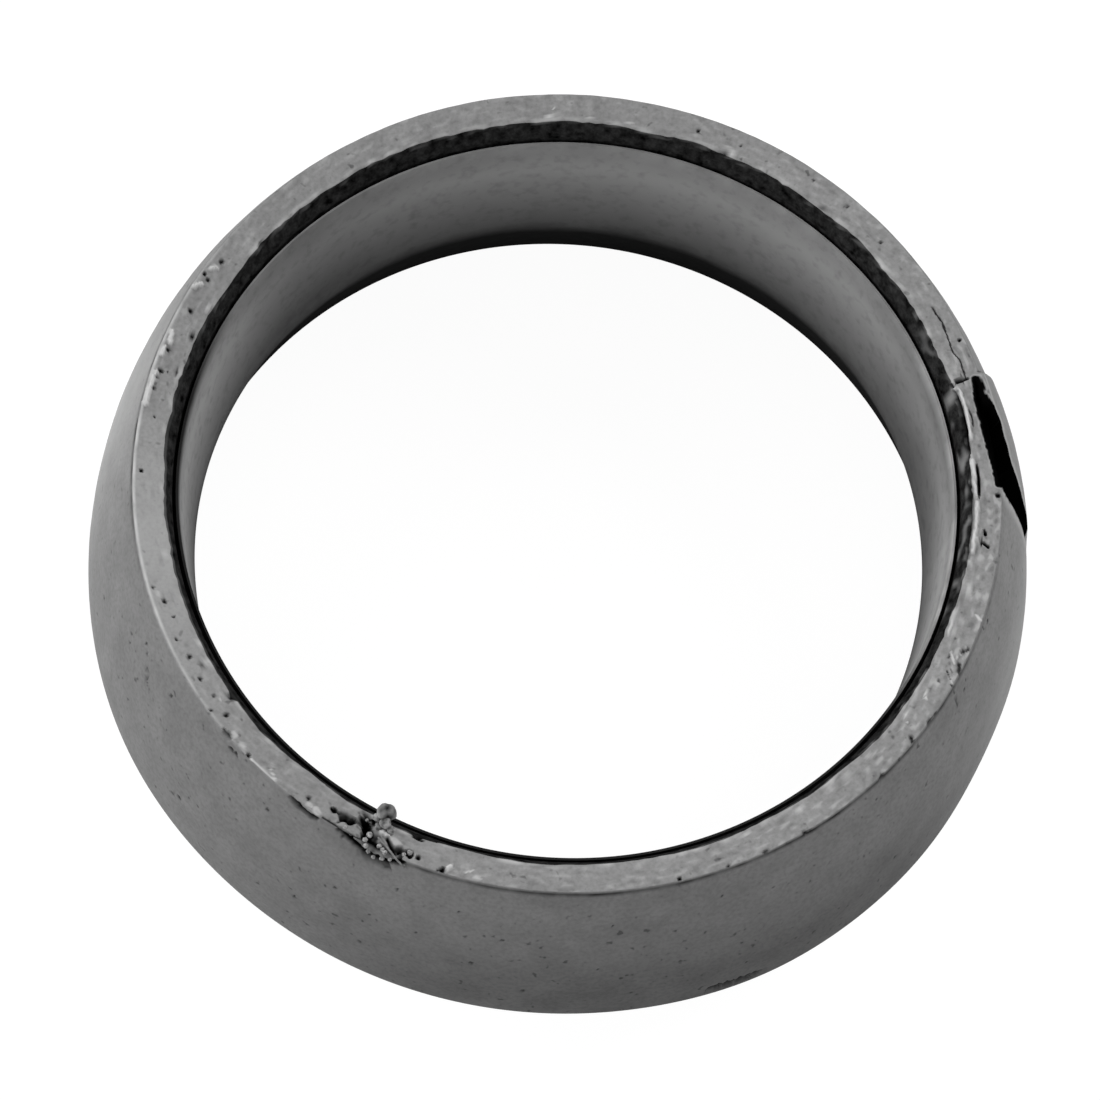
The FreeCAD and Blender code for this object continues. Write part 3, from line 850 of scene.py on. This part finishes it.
def add_attribute(mesh, name, values):
    """Keeps a value from 0 to 1 for each point, which the finishes read by its name."""
    attribute = mesh.attributes.new(name, "FLOAT", "POINT")
    attribute.data.foreach_set("value", np.clip(values, 0, 1).astype(np.float32))


def linear(hex_colour):
    """An sRGB hex colour as linear RGBA."""
    parts = [int(hex_colour[i:i + 2], 16) / 255 for i in (1, 3, 5)]
    return [p / 12.92 if p <= 0.04045 else ((p + 0.055) / 1.055) ** 2.4 for p in parts] + [1]


def dark_shade(hex_colour):
    """The same grey at a little over half its written level."""
    return "#" + "".join("%02x" % int(int(hex_colour[i:i + 2], 16) * DARK_SHARE) for i in (1, 3, 5))


def add_node(tree, kind, inputs=None, **settings):
    """Adds a node, with its settings, and its inputs linked to sockets or set to hex colours or numbers."""
    node = tree.nodes.new(kind)
    for name, value in settings.items():
        if hasattr(node, name):
            setattr(node, name, value)
        else:
            node.inputs[name.replace("_", " ")].default_value = value
    for key, value in (inputs or {}).items():
        if isinstance(value, bpy.types.NodeSocket):
            tree.links.new(value, node.inputs[key])
        elif isinstance(value, str):
            node.inputs[key].default_value = linear(value)
        else:
            node.inputs[key].default_value = value
    return node


def new_material(name):
    material = bpy.data.materials.new(name)
    material.use_nodes = True
    material.node_tree.nodes.clear()
    return material, material.node_tree


def coated(tree, colour, layers):
    """A colour with layers over it, each as the share that it covers and its own colour."""
    for share, shade in layers:
        mix = add_node(tree, "ShaderNodeMix", {MIX_SHARE: share, MIX_BELOW: colour, MIX_ABOVE: shade},
                       data_type="RGBA")
        colour = mix.outputs[MIX_COLOUR]
    return colour


def under_soot_and_shade(tree, skin, soot):
    """Ends a material: its skin, under matte black where the mesh says so, for sooty places and for painted
    shade.
    """
    black = add_node(tree, "ShaderNodeBsdfDiffuse", {"Color": soot})
    darkened = add_node(tree, "ShaderNodeAttribute", attribute_name="soot")
    both = add_node(tree, "ShaderNodeMixShader", {0: darkened.outputs["Fac"], 1: skin.outputs[0],
                                                  2: black.outputs[0]})
    add_node(tree, "ShaderNodeOutputMaterial", {"Surface": both.outputs[0]})


def pressed_finish(name, dark, light, bare, soot, speck_share, grain_mm, roughness=None, cloud_mm=2.5):
    """Graphite pressed into knitted wire: cloudy grey, with specks, sooty hollows, pale worn spots, and painted
    light and shade.

    Sooty places, steel rubbed clean, and painted light and shade come from the mesh. The real grain is finer
    than a pixel, so it is drawn coarser to show. A finish without a roughness has no sheen at all.
    """
    material, tree = new_material(name)
    place_on = add_node(tree, "ShaderNodeTexCoord").outputs["Object"]
    clouds = add_node(tree, "ShaderNodeTexNoise", {"Vector": place_on}, Scale=1 / (cloud_mm * MM), Detail=6.0,
                      Roughness=0.62)
    spread = add_node(tree, "ShaderNodeMapRange", {"Value": clouds.outputs[0]}, From_Min=0.32, From_Max=0.68)
    grain = add_node(tree, "ShaderNodeTexNoise", {"Vector": place_on}, Scale=1 / (grain_mm * MM), Detail=3.0)
    mottle = add_node(tree, "ShaderNodeMapRange", {"Value": grain.outputs[0]}, From_Min=0.4, From_Max=0.75,
                      To_Max=0.3)
    specks = add_node(tree, "ShaderNodeTexNoise", {"Vector": place_on}, Scale=1 / (SPECK_MM * MM), Detail=1.0)
    dots = add_node(tree, "ShaderNodeMapRange", {"Value": specks.outputs[0]},
                    From_Min=0.74 - speck_share, From_Max=0.82 - speck_share, To_Max=0.5)
    # The pale layer from the mesh: worn steel and painted light
    worn = add_node(tree, "ShaderNodeAttribute", attribute_name="bare")
    colour = coated(tree, dark, ((spread.outputs[0], light), (mottle.outputs[0], dark_shade(dark)),
                                 (dots.outputs[0], soot), (worn.outputs["Fac"], bare)))
    if roughness is None:
        skin = add_node(tree, "ShaderNodeBsdfDiffuse", {"Color": colour})
    else:
        bump = add_node(tree, "ShaderNodeBump", {"Height": grain.outputs[0]}, Strength=0.35, Distance=0.03 * MM)
        skin = add_node(tree, "ShaderNodeBsdfPrincipled", {"Base Color": colour, "Normal": bump.outputs[0]},
                        Roughness=roughness, Specular_IOR_Level=0.1)
    under_soot_and_shade(tree, skin, soot)
    return material


def wall_finish():
    """Pressed graphite and wire, dulled by handling: an even mid grey with faint clouds and a low sheen."""
    return pressed_finish("pressed_graphite_wall", dark="#7a7a7a", light="#888888", bare="#c0c0c0",
                          soot="#050505", roughness=0.62, speck_share=0.04, grain_mm=0.3)


def land_finish():
    """The same rubbed by the flange: paler, with brighter worn spots and more specks."""
    return pressed_finish("rubbed_land", dark="#868686", light="#969696", bare="#cccccc",
                          soot="#050505", roughness=0.55, speck_share=0.06, grain_mm=0.25)


def chamfer_finish():
    """Raw graphite in the chamfer and the gap: nearly black and matte, partly its own dark colour and partly
    painted shade, with small dark grey crumbs.
    """
    return pressed_finish("raw_graphite_and_painted_shade_chamfer", dark="#050505", light="#383838", bare="#9a9a9a",
                          soot="#020202", speck_share=0.0, grain_mm=0.2, cloud_mm=0.7)


def grain_finish():
    """Bare grains of the burst: pale, nearly clean steel and graphite that catches the light."""
    return pressed_finish("bare_grains", dark="#8c8c8c", light="#c0c0c0", bare="#d0d0d0",
                          soot="#0c0c0c", roughness=0.5, speck_share=0.04, grain_mm=0.15, cloud_mm=0.4)


def lump_finish():
    """The lump's graphite: patchy, from mid grey to pale, with painted shade in the hollows between its lobes.
    """
    return pressed_finish("lump_graphite", dark="#767676", light="#b4b4b4", bare="#b0b0b0",
                          soot="#0c0c0c", roughness=0.55, speck_share=0.06, grain_mm=0.2, cloud_mm=0.4)


def bore_finish():
    """The bore's smooth skin, finely dusted: matte mid grey, with painted shade that leaves it paler up the
    bore, duller at its brim and darkest at its mouth.
    """
    material, tree = new_material("smooth_bore_skin")
    place_on = add_node(tree, "ShaderNodeTexCoord").outputs["Object"]
    height = add_node(tree, "ShaderNodeSeparateXYZ", {"Vector": place_on}).outputs["Z"]
    clouds = add_node(tree, "ShaderNodeTexNoise", {"Vector": place_on}, Scale=1 / (BORE_CLOUD_MM * MM),
                      Detail=5.0, Roughness=0.6)
    cloudy_height = add_node(tree, "ShaderNodeMath", {0: clouds.outputs[0], 1: BORE_CLOUD_LIFT * MM, 2: height},
                             operation="MULTIPLY_ADD")
    # Painted shade by height: the bore is paler going up, duller at its brim, and darkest at its flared mouth
    paler, brim, sooty = (
        add_node(tree, "ShaderNodeMapRange", {"Value": cloudy_height.outputs[0]},
                 From_Min=start * MM, From_Max=end * MM) for start, end in (BORE_PALER, BORE_BRIM, BORE_FLARE_SHADE))
    streaks = add_node(tree, "ShaderNodeTexNoise", {"Vector": place_on}, Scale=1 / (BORE_STREAK_MM * MM),
                       Detail=4.0)
    faint = add_node(tree, "ShaderNodeMapRange", {"Value": streaks.outputs[0]},
                     From_Min=0.5, From_Max=0.8, To_Max=0.3)
    # The pale layer from the mesh: worn places and the painted highlight on the skin's edge
    worn = add_node(tree, "ShaderNodeAttribute", attribute_name="bare")
    colour = coated(tree, "#707070", ((paler.outputs[0], "#a8a8a8"), (brim.outputs[0], "#8c8c8c"),
                                      (sooty.outputs[0], "#363636"), (faint.outputs[0], "#4a4a4a"),
                                      (worn.outputs["Fac"], "#dedede")))
    under_soot_and_shade(tree, add_node(tree, "ShaderNodeBsdfDiffuse", {"Color": colour}), "#0a0a0a")
    return material


def zone_of(r, z):
    """Which finish a face of the ring has, by its middle in the plain section."""
    if BORE_RADIUS + EDGE_MARGIN < r < GAP_OUTER + CHAMFER_REACH and LINER_Z - GAP_DEPTH <= z <= LAND_INNER_Z:
        return CHAMFER_AND_GAP
    if z > LAND_INNER_Z - EDGE_MARGIN and LAND_INNER_RADIUS - EDGE_MARGIN < r < LAND_OUTER_RADIUS:
        return LAND
    if r < SEAT_INNER_RADIUS and z < LINER_Z + EDGE_MARGIN:
        return BORE
    return WALL


def build_ring():
    """The whole ring, worn and with its painted light and shade, in place of the plain one."""
    bm = ring_mesh()
    for face in bm.faces:
        _, r, z = ring_place(face.calc_center_median())
        face.material_index = zone_of(r, z)
        face.smooth = True
    mesh = bpy.data.meshes.new("seal_ring_worn")
    bm.to_mesh(mesh)
    bm.free()
    wear_and_shading = WearAndShading(mesh)
    for work in (uneven_shape, lift_flap, open_pocket, wear_rim, edge_wear_and_shading, gap_wear_and_highlight, wear_land, wall_light_and_shade,
                 wear_bore):
        work(wear_and_shading)
    mesh.vertices.foreach_set("co", (wear_and_shading.points * MM).astype(np.float32).ravel())
    add_attribute(mesh, "soot", wear_and_shading.soot)
    add_attribute(mesh, "bare", wear_and_shading.bare)
    mesh.update()
    mesh.set_sharp_from_angle(angle=math.radians(SHARP_ANGLE))
    for finish in (wall_finish, land_finish, bore_finish, chamfer_finish):
        mesh.materials.append(finish())
    ring = bpy.data.objects.new("seal_ring_worn", mesh)
    bpy.context.collection.objects.link(ring)
    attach(ring, "root")
    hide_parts("seal_ring")


def add_crumb(bm, centre, size, seed, soot):
    """A rough round grain with its middle at a place in millimetres, sooty by a share, with painted shade in
    its dents.
    """
    layer = bm.verts.layers.float["soot"]
    made = bmesh.ops.create_icosphere(bm, subdivisions=3, radius=size * MM,
                                      matrix=Matrix.Translation(Vector(centre) * MM))
    for vert in made["verts"]:
        out = vert.co - Vector(centre) * MM
        bump = noise.noise(Vector(vert.co) / (size * MM) * BUMPS_ACROSS + Vector((seed, 0, 0)))
        # Painted shade: the grain's dents are darkened and its bumps made paler
        vert[layer] = min(max(soot - BUMP_SHADE * bump, 0), 1)
        vert.co += out * BUMP_SHARE * bump


def add_strand(bm, route, radius):
    """A thin round strand along a route of places in millimetres."""
    layer = bm.verts.layers.float["soot"]
    rings = []
    for i, here in enumerate(route):
        before, after = route[max(i - 1, 0)], route[min(i + 1, len(route) - 1)]
        way = Vector(after - before).to_track_quat("Z", "Y").to_matrix().to_4x4()
        made = bmesh.ops.create_circle(bm, segments=STRAND_SIDES, radius=radius * MM,
                                       cap_ends=i in (0, len(route) - 1),
                                       matrix=Matrix.Translation(Vector(here) * MM) @ way)
        for vert in made["verts"]:
            vert[layer] = STRAND_SOOT
        rings.append([edge for edge in set(e for v in made["verts"] for e in v.link_edges)
                      if all(v in made["verts"] for v in edge.verts)])
    for first, second in zip(rings, rings[1:]):
        bmesh.ops.bridge_loops(bm, edges=first + second)


def crumb_mesh():
    """An empty mesh in the making, whose points can be sooty and darkened by painted shade."""
    bm = bmesh.new()
    bm.verts.layers.float.new("soot")
    return bm


def finish_crumbs(name, bm, material):
    """Closes a piece of the burst and lets it ride on the ring."""
    bmesh.ops.recalc_face_normals(bm, faces=bm.faces)
    for face in bm.faces:
        face.smooth = True
    mesh = bpy.data.meshes.new(name)
    bm.to_mesh(mesh)
    bm.free()
    mesh.materials.append(material)
    piece = bpy.data.objects.new(name, mesh)
    bpy.context.collection.objects.link(piece)
    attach(piece, "root")


def build_grains():
    """The grains and the pulled strand that the burst left standing."""
    bm = crumb_mesh()
    for seed, (angle, radius, lift, size) in enumerate(GRAINS):
        add_crumb(bm, place(angle, radius, land_z(radius) + lift), size, seed, GRAIN_SOOT)
    route = [place(angle, radius, land_z(radius) + lift) for angle, radius, lift in STRAND]
    add_strand(bm, route, STRAND_THICKNESS)
    finish_crumbs("burst_grains", bm, grain_finish())


def build_lump():
    """The lump over the bore's edge, made of lobes that run into each other."""
    bm = crumb_mesh()
    for seed, (angle, radius, z, size, soot) in enumerate(LUMP, LUMP_SEED):
        add_crumb(bm, place(angle, radius, z), size, seed, soot)
    finish_crumbs("burst_lump", bm, lump_finish())


def make_camera():
    """The camera at the photograph's angle, aimed so that the ring falls where it does there."""
    elevation, roll = math.radians(VIEW_ELEVATION), math.radians(VIEW_ROLL)
    level_right = Vector((1, 0, 0))
    back = Vector((0, -math.cos(elevation), math.sin(elevation)))
    level_up = back.cross(level_right)
    right = level_right * math.cos(roll) - level_up * math.sin(roll)
    up = level_right * math.sin(roll) + level_up * math.cos(roll)
    aside = (AIM_PX[0] - FRAME_PX / 2) / FOCAL_PX * VIEW_DISTANCE
    above = -(AIM_PX[1] - FRAME_PX / 2) / FOCAL_PX * VIEW_DISTANCE
    stand = Vector((0, 0, AIM_HEIGHT)) + back * VIEW_DISTANCE - right * aside - up * above
    camera = bpy.data.objects.new("photo_camera", bpy.data.cameras.new("photo_camera"))
    bpy.context.collection.objects.link(camera)
    camera.data.sensor_width = SENSOR_MM
    camera.data.lens = SENSOR_MM * FOCAL_PX / FRAME_PX
    camera.data.clip_start = NEAREST_SEEN
    camera.matrix_world = Matrix.Translation(stand * MM) @ Matrix((right, up, back)).transposed().to_4x4()
    bpy.context.scene.camera = camera


def seen_directly(tree):
    """1 for rays from the camera and for mirror-like and see-through ones, 0 for the light that lands."""
    path = add_node(tree, "ShaderNodeLightPath")
    shiny = add_node(tree, "ShaderNodeMath", {0: path.outputs["Is Glossy Ray"],
                                              1: path.outputs["Is Transmission Ray"]}, operation="MAXIMUM")
    return add_node(tree, "ShaderNodeMath", {0: path.outputs["Is Camera Ray"], 1: shiny.outputs[0]},
                    operation="MAXIMUM").outputs[0]


def floor_finish():
    """A paper floor that looks white but throws little light back, and keeps a faint shadow."""
    material, tree = new_material("pale_floor")
    paper = add_node(tree, "ShaderNodeBsdfDiffuse", {"Color": "#626262"})
    white = add_node(tree, "ShaderNodeMath", {0: seen_directly(tree), 1: FLOOR_GLOW}, operation="MULTIPLY")
    glow = add_node(tree, "ShaderNodeEmission", {"Strength": white.outputs[0]})
    both = add_node(tree, "ShaderNodeAddShader", {0: paper.outputs[0], 1: glow.outputs[0]})
    add_node(tree, "ShaderNodeOutputMaterial", {"Surface": both.outputs[0]})
    return material


def make_floor():
    bm = bmesh.new()
    bmesh.ops.create_grid(bm, x_segments=1, y_segments=1, size=FLOOR_SIZE)
    mesh = bpy.data.meshes.new("studio_floor")
    bm.to_mesh(mesh)
    bm.free()
    floor = bpy.data.objects.new("studio_floor", mesh)
    bpy.context.collection.objects.link(floor)
    mesh.materials.append(floor_finish())


def add_lamp(name, azimuth, elevation, power):
    """A square soft lamp, turned to the ring."""
    light = bpy.data.lights.new(name, "AREA")
    light.size = LAMP_SIZE
    light.energy = power
    lamp = bpy.data.objects.new(name, light)
    turn, rise = math.radians(azimuth), math.radians(elevation)
    stand = Vector((math.cos(rise) * math.cos(turn), math.cos(rise) * math.sin(turn), math.sin(rise)))
    lamp.location = stand * LAMP_DISTANCE
    lamp.rotation_euler = stand.to_track_quat("Z", "Y").to_euler()
    bpy.context.collection.objects.link(lamp)


def make_world():
    """A white background that lights the ring only a little."""
    world = bpy.data.worlds.new("studio")
    bpy.context.scene.world = world
    world.use_nodes = True
    tree = world.node_tree
    tree.nodes.clear()
    white = add_node(tree, "ShaderNodeMath", {0: seen_directly(tree), 1: SKY_LEVEL}, operation="MAXIMUM")
    sky = add_node(tree, "ShaderNodeBackground", {"Strength": white.outputs[0], "Color": "#ffffff"})
    add_node(tree, "ShaderNodeOutputWorld", {"Surface": sky.outputs[0]})


build_ring()
build_grains()
build_lump()

make_camera()
make_floor()
make_world()
for lamp in LAMPS:
    add_lamp(*lamp)

bpy.context.scene.view_settings.view_transform = "Standard"
